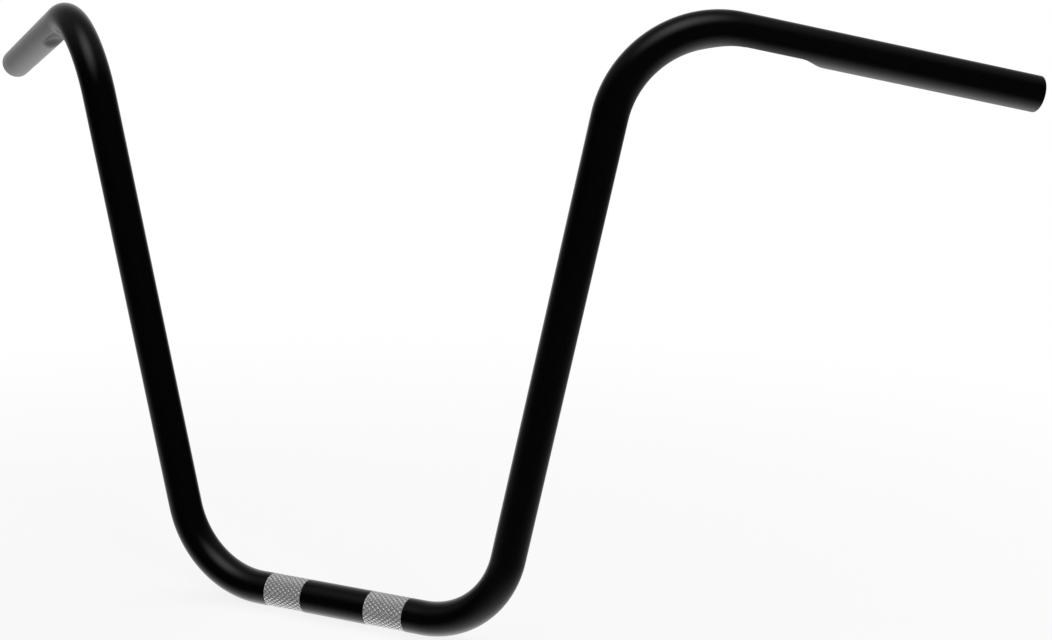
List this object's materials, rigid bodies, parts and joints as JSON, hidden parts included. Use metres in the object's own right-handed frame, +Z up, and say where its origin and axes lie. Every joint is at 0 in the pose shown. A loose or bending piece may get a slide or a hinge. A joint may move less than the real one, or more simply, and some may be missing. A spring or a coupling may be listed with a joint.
{
  "type": "motorcycle handlebar",
  "caption": "Tall ape-hanger motorcycle handlebar of bent round steel tube, with knurled clamping bands, pressed wiring dimples and open, swept-back grip ends.",
  "frame": {"origin": "middle of the clamping section, on the tube's middle line", "axes": "+X along the clamping section towards the right-hand grip as the rider sits, +Y back towards the rider, +Z up along the plane of the risers"},
  "size_m": [0.932, 0.1945, 0.4552],
  "materials": {
    "black_paint": "gloss"
  },
  "bodies": {
    "root": {"handlebar": "black_paint"}
  },
  "joints": []
}
